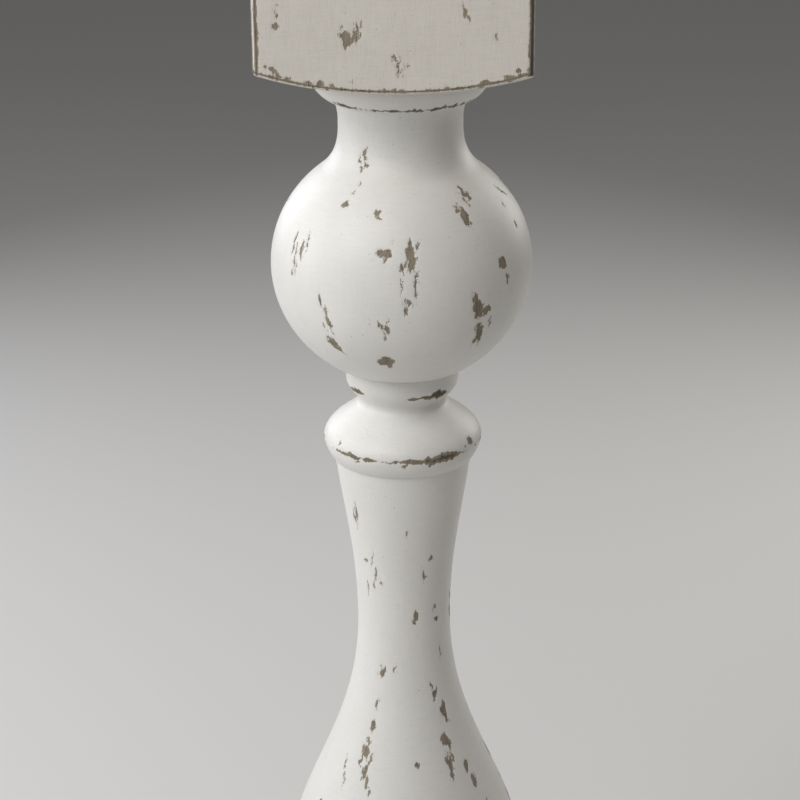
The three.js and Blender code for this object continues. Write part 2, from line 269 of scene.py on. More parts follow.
def ironFinish():
    material, start, place = newMaterial("waxedIron")
    scale = place.noise(1.4, 4, 0.65)
    patches = place.noise(14, 3, 0.6)
    rusty = (patches * 0.6 + scale * 0.4).above(0.58, 0.14)
    colour = (rusty * 0.7).mixed(waxedIron["dark"], waxedIron["rust"])
    roughness = rusty * 0.3 + scale * 0.25 + 0.32
    finishWith(start, colour, roughness, scale * 0.10 + patches * 0.6, 0.8)
    return material


zincPlate = {"bright": (0.56, 0.56, 0.55), "dull": (0.33, 0.33, 0.32)}


def zincFinish():
    material, start, place = newMaterial("zincPlate")
    spangle = place.noise(1.1, 2)
    film = place.noise(6, 3)
    colour = (spangle * 0.5 + film * 0.5).above(0.5, 0.3).mixed(zincPlate["bright"], zincPlate["dull"])
    finishWith(start, colour, film * 0.25 + 0.28, spangle * 0.03, 1.0)
    return material


padRubber = {"black": (0.025, 0.024, 0.023), "dusty": (0.075, 0.072, 0.066)}


def rubberFinish():
    material, start, place = newMaterial("padRubber")
    stipple = place.noise(0.35, 2)
    dust = place.noise(5, 3).above(0.55, 0.2)
    colour = (dust * 0.6).mixed(padRubber["black"], padRubber["dusty"])
    finishWith(start, colour, dust * 0.1 + 0.72, stipple * 0.05)
    return material


iron = ironFinish()
zinc = zincFinish()
rubber = rubberFinish()
print("finishes made")


hashing = {"shift": 7.31, "primes": (73856093, 19349663, 83492791), "mixer": 1274126177, "gain": 1.6}


# Smooth noise from about -1 to 1 over points in mm
def softNoise(points, size, seed):
    scaled = points / size + seed * hashing["shift"]
    cell = np.floor(scaled).astype(np.int64)
    part = scaled - cell
    part = part * part * (3 - 2 * part)
    total = np.zeros(len(points))
    for corner in itertools.product((0, 1), repeat=3):
        key = (cell + np.array(corner)) @ np.array(hashing["primes"])
        key = (key ^ (key >> 13)) * hashing["mixer"]
        value = ((key ^ (key >> 16)) & 0xFFFF) / 32767.5 - 1
        total += value * np.prod(np.where(corner, part, 1 - part), axis=1)
    return total * hashing["gain"]


# Noise in layers of (size in mm, what is added to the seed, share)
def layeredNoise(points, seed, layers):
    return sum(softNoise(points, size, seed + added) * share for size, added, share in layers)


# Points along a path at even steps, both ends kept
def evenly(points, step):
    points = np.asarray(points, float)
    lengths = np.concatenate([[0], np.cumsum(np.linalg.norm(np.diff(points, axis=0), axis=1))])
    count = max(1, round(lengths[-1] / step))
    wanted = np.linspace(0, lengths[-1], count + 1)
    return np.column_stack([np.interp(wanted, lengths, points[:, i]) for i in range(points.shape[1])])


# A smooth curve from one point to another. Each pull says how far its handle reaches, as (outward, upward)
def curve(start, startPull, end, endPull, step):
    start, end = np.asarray(start, float), np.asarray(end, float)
    leaving, arriving = start + startPull, end + endPull
    t = np.linspace(0, 1, 120)[:, None]
    path = (1 - t) ** 3 * start + 3 * (1 - t) ** 2 * t * leaving + 3 * (1 - t) * t**2 * arriving + t**3 * end
    return evenly(path, step)


def arc(middle, radii, start, end, step):
    angles = np.radians(np.linspace(start, end, 160))
    along = np.column_stack([middle[0] + radii[0] * np.cos(angles), middle[1] + radii[1] * np.sin(angles)])
    return evenly(along, step)


# Joins stretches of outline end to end, without doubled points where they meet
def joined(*stretches):
    points = [np.asarray(stretches[0], float)]
    for stretch in stretches[1:]:
        stretch = np.asarray(stretch, float)
        doubled = np.linalg.norm(stretch[0] - points[-1][-1]) < 1e-6
        points.append(stretch[1:] if doubled else stretch)
    return np.concatenate(points)


def circle(radius, height, around, middle=(0, 0)):
    angles = np.linspace(0, 2 * np.pi, around, endpoint=False)
    x = middle[0] + radius * np.sin(angles)
    y = middle[1] - radius * np.cos(angles)
    return np.column_stack([x, y, np.full(around, height)])


# A mesh in the making: rings joined by quads, and flat plates with holes. Points are in mm
class Shell:
    def __init__(self):
        self.points = []
        self.faces = []
        self.wear = []
        self.count = 0

    def add(self, points, faces, wear=None):
        self.points.append(points)
        self.wear.append(np.full(len(points), distressed["whole"]) if wear is None else wear)
        self.faces.extend((np.asarray(faces) + self.count).tolist())
        self.count += len(points)

    # Quads between rings of points, (rings, around, 3)
    def loft(self, rings, closed=False, wear=None):
        rings = np.asarray(rings, float)
        count, around = rings.shape[:2]
        first = np.arange(count if closed else count - 1)[:, None] * around
        step = np.arange(around)[None, :]
        after = (step + 1) % around
        above = (first + around) % (count * around)
        quads = np.stack([first + step, first + after, above + after, above + step], axis=-1).reshape(-1, 4)
        self.add(rings.reshape(-1, 3), quads, wear)

    # A plate between an outer loop and any number of holes, level but for worn points of the loops
    def plate(self, outer, holes=()):
        loops = [outer, *holes]
        flat = [Vector(point[:2]) for loop in loops for point in loop]
        edges, first = [], 0
        for loop in loops:
            edges += [(first + i, first + (i + 1) % len(loop)) for i in range(len(loop))]
            first += len(loop)
        made = delaunay_2d_cdt(flat, edges, [], 1, 1e-7)
        points = np.concatenate(loops)[[sources[0] for sources in made[3]]]
        kept = []
        for face in made[2]:
            middle = np.mean(points[face, :2], axis=0)
            if not any(isInside(middle, hole) for hole in holes):
                kept.append(face)
        self.add(points, kept)

    # Makes the piece that stands for a CAD node, with points less than a micrometre apart merged
    def build(self, node, material, slot, sharp=40):
        name = node + "_finish"
        points = np.concatenate(self.points)
        grid = np.round(points / 1e-3).astype(np.int64)
        _, kept, merged = np.unique(grid, axis=0, return_index=True, return_inverse=True)
        merged = merged.ravel()
        faces = []
        for face in self.faces:
            corners = [int(merged[i]) for i in face]
            corners = [c for i, c in enumerate(corners) if c != corners[i - 1]]
            if len(corners) > 2:
                faces.append(corners)
        mesh = bpy.data.meshes.new(name)
        mesh.from_pydata((points[kept] * mm).tolist(), [], faces)
        tidy = bmesh.new()
        tidy.from_mesh(mesh)
        bmesh.ops.recalc_face_normals(tidy, faces=tidy.faces)
        openEdges = sum(1 for edge in tidy.edges if len(edge.link_faces) != 2)
        tidy.to_mesh(mesh)
        tidy.free()
        mesh.polygons.foreach_set("use_smooth", [True] * len(mesh.polygons))
        mesh.set_sharp_from_angle(angle=math.radians(sharp))
        mesh.materials.append(material)
        if slot == "painted_wood":
            attribute = mesh.attributes.new("wear", "FLOAT", "POINT")
            attribute.data.foreach_set("value", np.concatenate(self.wear)[kept].astype(np.float32))
        mesh.update()
        piece = bpy.data.objects.new(name, mesh)
        bpy.context.scene.collection.objects.link(piece)
        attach(piece, "root")
        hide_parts(node)
        print(name, "made with", sum(len(face) - 2 for face in faces), "triangles,", openEdges, "open edges")


def isInside(point, loop):
    ends = np.roll(loop[:, :2], -1, axis=0)
    starts = loop[:, :2]
    crosses = (starts[:, 1] > point[1]) != (ends[:, 1] > point[1])
    rise = np.where(crosses, ends[:, 1] - starts[:, 1], 1)
    at = starts[:, 0] + (ends[:, 0] - starts[:, 0]) * (point[1] - starts[:, 1]) / rise
    return bool(np.count_nonzero(crosses & (point[0] < at)) % 2)


def normalsOf(rings):
    alongRing = np.roll(rings, -1, axis=1) - np.roll(rings, 1, axis=1)
    acrossRings = np.empty_like(rings)
    acrossRings[1:-1] = rings[2:] - rings[:-2]
    acrossRings[0] = rings[1] - rings[0]
    acrossRings[-1] = rings[-1] - rings[-2]
    normal = np.cross(alongRing, acrossRings)
    return normal / np.maximum(np.linalg.norm(normal, axis=-1, keepdims=True), 1e-9)


# Sinks the bare wood by the paint's thickness. Rings run so that their normals point outward
def sunken(rings, field, thickness=0.2):
    sunk = np.clip(field / 0.8 + 0.5, 0, 1) * thickness
    return rings - normalsOf(rings) * sunk.reshape(rings.shape[:2])[:, :, None]


flaking = {
    "warp": ((2.8, 0, 0.7), (1.2, 5, 0.25)),  # layers of noise that bend a flake's outline
    "power": 1.7,  # between 1 for a diamond and 2 for an ellipse
    "slope": 1.25,
    "narrowest": 0.12,  # share of the width left at a tapered end
    "deepest": 2.4,
}


# Flakes of lost paint: mm inside the nearest one, or below 0 outside them all
def flakeField(points, flakes):
    moved = points + np.column_stack([layeredNoise(points, seed, flaking["warp"]) for seed in (1, 2, 3)])
    field = np.full(len(points), distressed["whole"])
    power = flaking["power"]
    for middle, across, up, width, length, lean, taper, most in flakes:
        half, reach = width / 2, length / 2
        near = np.abs(points - middle).max(axis=1) < 2.2 * max(half, reach) + 5
        offset = moved[near] - middle
        slant = math.radians(lean)
        sideways = offset @ across
        upward = offset @ up
        p = (upward * math.cos(slant) - sideways * math.sin(slant)) / reach
        room = half * np.clip(1 - taper * p, flaking["narrowest"], 2)
        q = (sideways * math.cos(slant) + upward * math.sin(slant)) / room
        far = (np.abs(q) ** power + np.abs(p) ** power) ** (1 / power)
        inside = np.minimum((1 - far) * min(half, reach) * flaking["slope"], most)
        field[near] = np.maximum(field[near], inside)
    return field


# What a flake may leave out: its lean in degrees, its taper (above 0 is pointed at the top), its depth limit
def flakeShape(width, length, lean=0, taper=0, most=flaking["deepest"]):
    return width, length, lean, taper, most


# Flakes scattered over a stretch: places are bearings in degrees, or mm across a face
def scattered(seed, count, places, heights, sizes, lean=14):
    chance = np.random.default_rng(seed)
    flakes = []
    for _ in range(count):
        place = chance.uniform(*places)
        height = chance.uniform(*heights)
        width = sizes[0] + (sizes[1] - sizes[0]) * chance.random() ** 1.7
        length = width * chance.uniform(0.9, 3.0)
        flakes.append((place, height, width, length, chance.uniform(-lean, lean), chance.uniform(-0.7, 0.7)))
    return flakes


section = {
    "bore": 5.6,
    "spigot": 13,
    "spigotLength": 18,
    "socketDepth": 18.6,
    "clearance": 0.3,
    "step": 0.95,
    "fine": 0.72,  # share of the step on small mouldings
    "hairline": 0.25,  # how far an upper end reaches into the joint above it
    "ragged": ((4, 0, 0.5), (1.3, 3, 0.85)),
}


# A flake's place on a turned piece, from its bearing in degrees and its height above the piece's lower end
def onTurning(outline, bottom, bearing, height, *shape):
    nearest = int(np.argmin(np.abs(outline[:, 1] - height)))
    nearest = min(max(nearest, 1), len(outline) - 2)
    slope = outline[nearest + 1] - outline[nearest - 1]
    slope = slope / np.linalg.norm(slope)
    angle = math.radians(bearing)
    outward = np.array([math.sin(angle), -math.cos(angle), 0])
    across = np.array([math.cos(angle), math.sin(angle), 0])
    up = outward * slope[0] + np.array([0, 0, slope[1]])
    middle = outward * outline[nearest, 0] + np.array([0, 0, bottom + height])
    return middle, across, up, *flakeShape(*shape)


# Paint rubbed off round a turned piece's arris. Each spot is a bearing, a spread and the width it adds
def rubbedRound(outline, around, rub):
    run = np.concatenate([[0], np.cumsum(np.linalg.norm(np.diff(outline, axis=0), axis=1))])
    at = int(np.argmin(np.linalg.norm(outline - np.array(rub["at"]), axis=1)))
    bearings = np.linspace(0, 360, around, endpoint=False)
    line = circle(outline[at, 0], 0, around)
    width = np.full(around, float(rub["width"]))
    for middle, spread, extra in rub["spots"]:
        width = width + extra * np.exp(-(((bearings - middle + 180) % 360 - 180) / spread) ** 2)
    distance = (run - run[at])[:, None]
    upper = width + rub["ragged"] * layeredNoise(line, rub["seed"], section["ragged"]) - distance
    lower = width + rub["ragged"] * layeredNoise(line, rub["seed"] + 9, section["ragged"]) + distance
    return np.minimum(upper, lower) * rub["sharp"]


# A turned section: its outline from the lower end up, with a spigot above, a bore, and a socket below
def turnedSection(node, outline, flakes, rubs, around):
    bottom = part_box(node)[0].z / mm
    length = outline[-1][1]
    placed = outline + np.array([0, bottom])
    rings = np.stack([circle(radius, height, around) for radius, height in placed])
    points = rings.reshape(-1, 3)
    field = flakeField(points, [onTurning(outline, bottom, *flake) for flake in flakes])
    for rub in rubs:
        field = np.maximum(field, rubbedRound(outline, around, rub).ravel())
    field[: 2 * around] = distressed["whole"]
    field[-2 * around:] = distressed["whole"]
    shell = Shell()
    shell.loft(sunken(rings, field), wear=field)
    bore, spigot, floor = section["bore"], section["spigot"], section["socketDepth"]
    socket, end = spigot + section["clearance"], length + section["spigotLength"]
    hidden = [(outline[-1][0], length), (spigot, length), (spigot, end), (bore, end), (bore, floor),
              (socket, floor), (socket, 0), (outline[0][0], 0)]
    shell.loft([circle(radius, bottom + height, around) for radius, height in hidden])
    shell.build(node, turnedPaint, "painted_wood")


# The flattened quarter round where a turned section meets a block, from the block to its worn arris
flare = {"radius": 44.5, "inner": 33, "rise": 13.2, "lip": 0.5, "power": 1.25}


def flareOutline(step):
    angles = np.radians(np.linspace(0, 90, 80))
    radii = flare["inner"] + (flare["radius"] - flare["inner"]) * np.cos(angles) ** flare["power"]
    heights = flare["lip"] + (flare["rise"] - flare["lip"]) * np.sin(angles) ** flare["power"]
    return joined([(flare["radius"], 0)], evenly(np.column_stack([radii, heights]), step))


ball = {
    "radius": 64.8,
    "rise": 61,  # half its height
    "middle": 52.7,
    "shoulder": 52,  # degrees up the ball where the neck's fillet starts
    "neck": (30.5, 122),
    "neckStraight": 4,
    "filletPull": (8.7, 8.8),  # the handles below and above
    "length": 148,
    "around": 400,
    "fine": 0.6,
    "flakes": [
        # bearing, height, width, length, lean, taper, depth limit
        (7.2, 74.5, 4.2, 17, 0, 0.8, 3), (3.6, 68, 1.6, 5), (3.3, 60, 0.9, 9), (9.4, 64, 1.8, 6.5, -8),
        (9.0, 57, 1.2, 7, 10), (6.4, 51.5, 2.2, 5, 40), (4.6, 47.5, 2.6, 5.5), (11, 77.5, 1.2, 3.5, -20),
        (-4.9, 74.5, 6.6, 4.2, 0, 0, 3), (-3.4, 71, 1.2, 3.4), (-1.2, 80, 0.9, 2.4),
        (45, 96.5, 3.4, 8.5, 20, 0.3), (42, 94, 1.2, 6, 20), (37.5, 88, 4.4, 12, 12, 0.4),
        (34, 91, 1.3, 4, 20), (52.5, 64, 5, 6.5, 0, 0.2), (54.5, 56, 3, 5.5),
        (37.5, 45.5, 6.2, 13, 8, 0.2, 3), (35.5, 49, 1.2, 5, 10), (42.5, 42.5, 4.4, 4.8),
        (41, 30, 4.4, 16, 14, -0.4), (39, 26, 1.6, 5), (45.5, 36, 1.2, 5, 14),
        (-5.4, 18.5, 7.6, 7.5, 0, 0.2), (-3.4, 15.5, 2.4, 4), (-31, 25.5, 5.0, 10, 28, -0.5),
        (-28, 23, 1.6, 5, 25), (-6, 39, 2.2, 6, 10), (-3.6, 38, 1.8, 7, -10), (-4.6, 33, 1.2, 3),
        (-11, 41, 1.0, 2.4), (-47, 70, 1.7, 13, 6), (-50, 66, 1.5, 11, 6), (-53.5, 72, 1.6, 9, 6),
        (-44.5, 74, 1.2, 7, 6), (-51, 59, 1.1, 6, 6), (-31, 42, 2.2, 9, 8), (-29.5, 37, 1.6, 7, 8),
        (-34, 50, 1.4, 8, 8), (-33, 34, 1.0, 5, 8), (-29.5, 93.5, 3.4, 4.4, 0, 0.5), (-27.4, 98, 1.5, 3),
        (-26.5, 101.5, 1.2, 2.2), (-10, 91.5, 2.6, 3.4, 30), (-8, 89.5, 1.8, 3.4, 45), (72, 77, 2.6, 4),
        (79, 92, 1.8, 13, 32), (70, 88, 1.2, 4, 20), (-30, 114.5, 3.6, 2.4, 70), (-33.5, 111, 1.4, 4, 25),
        (-27, 109, 2.8, 3.6, 10), (-31, 107, 1.6, 4, 20), (-29, 112, 1.4, 4, 60),
        (22, 30, 14, 12, 0, 0, -1.55), (10, 22, 10, 9, 0, 0, -1.7), (-40, 60, 10, 22, 0, 0, -1.9),
    ],
    "backFlakes": 44,
    "rubs": [
        {
            "at": (37.4, 136.9),
            "width": 0.35,
            "ragged": 2.0,
            "sharp": 2.8,
            "seed": 21,
            "spots": [(-3, 8, 1.6), (14, 6, 1.3), (27, 7, 1.5), (40, 6, 1.4), (-18, 5, 0.9), (-40, 8, 1.5),
                      (58, 9, 1.0), (120, 25, 1.1), (200, 30, 1.3), (265, 15, 1.0)],
        },
    ],
}


def ballOutline():
    step = section["step"]
    lowest = math.degrees(math.asin(-ball["middle"] / ball["rise"]))
    body = arc((0, ball["middle"]), (ball["radius"], ball["rise"]), lowest, ball["shoulder"], step)
    leaving = math.radians(ball["shoulder"])
    along = np.array([-ball["radius"] * math.sin(leaving), ball["rise"] * math.cos(leaving)])
    below, above = ball["filletPull"]
    along = along / np.linalg.norm(along) * below
    over = flareOutline(step * ball["fine"])[::-1].copy()
    over[:, 1] = ball["length"] + section["hairline"] - over[:, 1]
    fillet = curve(body[-1], along, ball["neck"], (0, -above), step)
    neckTop = (ball["neck"][0], ball["neck"][1] + ball["neckStraight"])
    cove = curve(neckTop, (0, 3.5), over[0], (-1.2, -0.6), step * ball["fine"])
    return joined(body, fillet, evenly([ball["neck"], neckTop], step), cove, over)


ballFlakes = ball["flakes"] + scattered(31, ball["backFlakes"], (95, 292), (12, 104), (1.4, 6.5))
turnedSection("ball_turning", ballOutline(), ballFlakes, ball["rubs"], ball["around"])

ring = {
    "seat": 35.6,
    "arris": (40.2, 10.3),
    "coveEdge": (25.2, 26.5),
    "throat": (22, 30.4),
    "collarEdge": (28.5, 43),
    "length": 49.5,
    "around": 360,
    "flakes": [
        (-50, 15, 1.4, 3, 20), (5, 8.2, 3.4, 2.2, 0, -0.4), (24, 8.4, 3.0, 2.2, 0, -0.4), (-31, 8, 3, 2),
        (62, 14, 4.0, 4.2, 30), (56, 12.5, 1.8, 1.8),
    ],
    "rubs": [
        {
            "at": (40.2, 10.6),
            "width": -0.2,
            "ragged": 0.9,
            "sharp": 2.2,
            "seed": 5,
            "spots": [(22, 9, 2.2), (36, 8, 2.6), (8, 8, 1.2), (-6, 7, 0.7), (-22, 7, 1.3), (-36, 6, 1.6),
                      (-47, 5, 0.9), (48, 6, 0.9), (120, 30, 1.0), (200, 26, 1.2), (-85, 14, 0.8)],
        },
        {
            "at": (27.9, 39.2),
            "width": -0.5,
            "ragged": 0.8,
            "sharp": 3.4,
            "seed": 8,
            "spots": [(46, 10, 3.2), (28, 9, 1.9), (12, 7, 1.1), (-50, 11, 2.2), (-64, 8, 1.0),
                      (150, 40, 1.1), (-120, 25, 1.1)],
        },
    ],
}


def ringOutline():
    step = section["step"] * section["fine"]
    edge = ring["collarEdge"]
    under = curve((ring["seat"], 0), (2.7, 3.4), ring["arris"], (-0.4, -3.4), step)
    dome = curve(ring["arris"], (0, 6.5), ring["coveEdge"], (7, -4.5), step)
    cove = curve(ring["coveEdge"], (-1.8, 1.15), ring["throat"], (0, -2.2), step)
    collar = curve(ring["throat"], (0, 3.5), edge, (0, -7.2), step)
    side = evenly([edge, (edge[0], ring["length"] + section["hairline"])], step)
    return joined(under, dome, cove, collar, side)


turnedSection("ring_turning", ringOutline(), ring["flakes"], ring["rubs"], ring["around"])

vase = {
    "foot": (33, 0),
    "belly": (64.5, 72),
    "waist": (24.2, 226.5),
    "top": (34.8, 318),
    "around": 340,
    "flakes": [
        # bearing, height, width, length, lean, taper
        (-48, 294, 1.8, 10, 6), (-51, 289, 1.4, 9, 6), (-43, 266, 2.2, 3.6), (-33, 268, 1.2, 7, -10),
        (-31, 258, 1.4, 8, -14), (-25, 255, 1.2, 4), (-35, 252, 1.2, 4), (34, 269, 2.0, 3.4),
        (26, 259, 1.2, 6, 8), (17.5, 236.5, 2.8, 6, 18, 0.5), (14, 233, 1.4, 3, 30), (42, 240, 1.3, 4),
        (47, 232, 2.8, 3), (-22, 204.5, 2.6, 6, -18, 0.5), (-26, 207, 1.2, 3), (37, 191, 3.2, 7, -20),
        (34, 195.5, 1.8, 5), (45, 182, 3.6, 9, -6, 0.6), (47, 176, 1.7, 5), (40, 167, 5.2, 7),
        (44, 164, 2.6, 5), (39, 153, 3.4, 13, 3, -0.2), (42.5, 158, 1.6, 8), (53, 150, 3, 7, -12),
        (57, 141, 4.8, 8, -10), (-26, 186, 1.6, 6), (-28, 175, 2.6, 6.5, 0, 0.3), (-30.5, 167, 2.4, 4, 10),
        (-31, 161, 4.6, 7, 16), (-24.5, 158, 2.6, 6, -10), (-28, 152, 3.2, 9, -14), (-25, 147, 2.4, 7),
        (-22, 142, 1.8, 5), (-33, 156, 1.4, 6), (13, 157, 3, 3.4), (-8, 206, 1.0, 3), (6, 285, 0.9, 3),
        (-46, 148, 1.2, 13, 10), (62, 128, 2.2, 4), (-44, 250, 1.0, 5), (52, 212, 1.0, 5),
    ],
    "backFlakes": 44,
    "frontFlakes": 24,
}


def vaseOutline():
    step = section["step"] * 1.3
    top = (vase["top"][0], vase["top"][1] + section["hairline"])
    swelling = curve(vase["foot"], (16, 10), vase["belly"], (0, -34), step)
    narrowing = curve(vase["belly"], (0, 53), vase["waist"], (0, -68.5), step)
    opening = curve(vase["waist"], (0, 36), top, (-5.2, -36.5), step)
    return joined(swelling, narrowing, opening)


vaseFlakes = vase["flakes"] + scattered(57, vase["backFlakes"], (80, 282), (20, 300), (1.4, 6))
vaseFlakes = vaseFlakes + scattered(58, vase["frontFlakes"], (-80, 80), (10, 128), (1.4, 6.5))
turnedSection("vase_turning", vaseOutline(), vaseFlakes, [], vase["around"])

foot = {
    "cove": (34, 21),
    "bead": 40,
    "top": (35, 34),
    "around": 380,
    "rubs": [
        {"at": (34.6, 12.6), "width": -0.2, "ragged": 1.1, "seed": 33, "sharp": 1.4,
         "spots": [(12, 14, 1.4), (-60, 20, 1.2), (150, 30, 1.2), (230, 25, 1.0)]},
        {"at": (39.9, 27.6), "width": -0.3, "ragged": 1.2, "seed": 36, "sharp": 1.4,
         "spots": [(34, 18, 1.8), (-40, 16, 1.3), (180, 40, 1.3), (100, 20, 1.0)]},
    ],
}


def footOutline():
    step = section["step"] * section["fine"]
    low = flareOutline(step)
    top = (foot["top"][0], foot["top"][1] + section["hairline"])
    swell = (foot["bead"] - foot["cove"][0]) * 4 / 3
    cove = curve(low[-1], (-1.6, 0.8), foot["cove"], (-3, -2), step)
    bead = curve(foot["cove"], (swell, 0), top, (swell - top[0] + foot["cove"][0], 0), step)
    return joined(low, cove, bead)


footFlakes = scattered(39, 12, (-180, 180), (14, 31), (1.2, 3))
turnedSection("foot_turning", footOutline(), footFlakes, foot["rubs"], foot["around"])

# Square pieces: loops that follow a rounded square, finer towards its corners
square = {
    "side": 128,
    "arris": 3,
    "ease": 1.25,
    "step": 1.05,
    "fine": 0.45,
    "fineReach": 5,
    "bends": 10,
    "pommel": 128,
    "pommelOffset": 36,
    "shoulderRows": 26,
    "plainRows": 20,  # rows of the shoulder without wear
    "sideRows": (0.0098, 0.004, 0.045),  # step, fine step and fine reach, as shares of a side
    "endRows": (0.012, 0.03, 0.06, 0.1, 0.16, 0.26, 0.42, 0.66, 1),  # the same across the far end
    "unworn": 90.0,  # mm from an arris, past any wear
    "fineWear": ((2.0, 0, 0.6), (1.1, 2, 0.4)),
    "patchyWear": ((8, 4, 0.7), (2.6, 6, 0.5)),
    "patchSharp": 1.3,
}


# Places along a length, fine near both ends
def finerAtEnds(length, step, fine, reach):
    ends = np.linspace(0, reach, round(reach / fine) + 1)
    middle = np.linspace(reach, length - reach, round((length - 2 * reach) / step) + 1)
    return np.concatenate([ends[:-1], middle, length - ends[:-1][::-1]])


# A rounded square's points, its outward directions, and each point's distance past a corner's start
def squareLoop(side, corner):
    half = side / 2
    flat = finerAtEnds(side - 2 * corner, square["step"], square["fine"], square["fineReach"])
    loop, outward, beyond = [], [], []
    for quarter in range(4):
        turn = quarter * math.pi / 2
        spin = np.array([[math.cos(turn), math.sin(turn)], [-math.sin(turn), math.cos(turn)]])
        edge = [(-half + corner + along, -half) for along in flat]
        facing = [(0, -1)] * len(edge)
        past = [max(along - flat[-1] / 2, flat[-1] / 2 - along) - flat[-1] / 2 for along in flat]
        for i in range(1, square["bends"]):
            angle = math.pi / 2 * i / square["bends"]
            facing.append((math.sin(angle), -math.cos(angle)))
            edge.append((half - corner + corner * math.sin(angle),
                         -half + corner - corner * math.cos(angle)))
            past.append(corner * min(angle, math.pi / 2 - angle))
        loop.append(np.array(edge) @ spin)
        outward.append(np.array(facing) @ spin)
        beyond += past
    return np.concatenate(loop), np.concatenate(outward), np.array(beyond)


def pommelDrop(radius):
    seat = math.sqrt(square["pommel"] ** 2 - (flare["radius"] - square["pommelOffset"]) ** 2)
    return seat - np.sqrt(square["pommel"] ** 2 - (radius - square["pommelOffset"]) ** 2)


def atHeight(loop, height):
    return np.column_stack([loop, np.broadcast_to(height, len(loop))])


# Side 0 is the front, then right, back and left. Places are mm across from the side's middle
def onFace(half, bottom, side, across, height, *shape):
    angle = math.pi / 2 * side
    outward = np.array([math.sin(angle), -math.cos(angle), 0])
    sideways = np.array([math.cos(angle), math.sin(angle), 0])
    middle = outward * half + sideways * across + np.array([0, 0, bottom + height])
    return middle, sideways, np.array([0, 0, 1.0]), *flakeShape(*shape)


# Ragged reach of worn paint past an arris, in mm: a fine edge everywhere, and larger patches here and there
def raggedReach(points, rub):
    fine = layeredNoise(points, rub["seed"], square["fineWear"])
    patchy = layeredNoise(points, rub["seed"], square["patchyWear"])
    return rub["ragged"] * np.abs(fine) + rub["patches"] * np.clip(patchy - rub["bare"], 0, 1)


# Paint rubbed off along an arris, from a distance in mm that is above 0 on the face the patches lie on
def rubbedLine(points, distance, rub):
    behind = rub["behind"] + distance
    line = np.minimum(rub["onward"] - distance, behind) * rub["sharp"]
    patches = np.minimum(rub["onward"] + raggedReach(points, rub) - distance, behind) * square["patchSharp"]
    return np.maximum(line, patches)


# Paint rubbed off the upright arrises, between two places round each bend
def rubbedUpright(points, beyond, rub):
    corner = (points[:, 0] > 0) + 2 * (points[:, 1] > 0)
    start = np.array(rub["starts"])[corner]
    end = np.array(rub["ends"])[corner]
    line = np.minimum(beyond - start, end - beyond) * rub["sharp"]
    patches = np.minimum(beyond - start + raggedReach(points, rub), end - beyond) * square["patchSharp"]
    return np.maximum(line, patches)


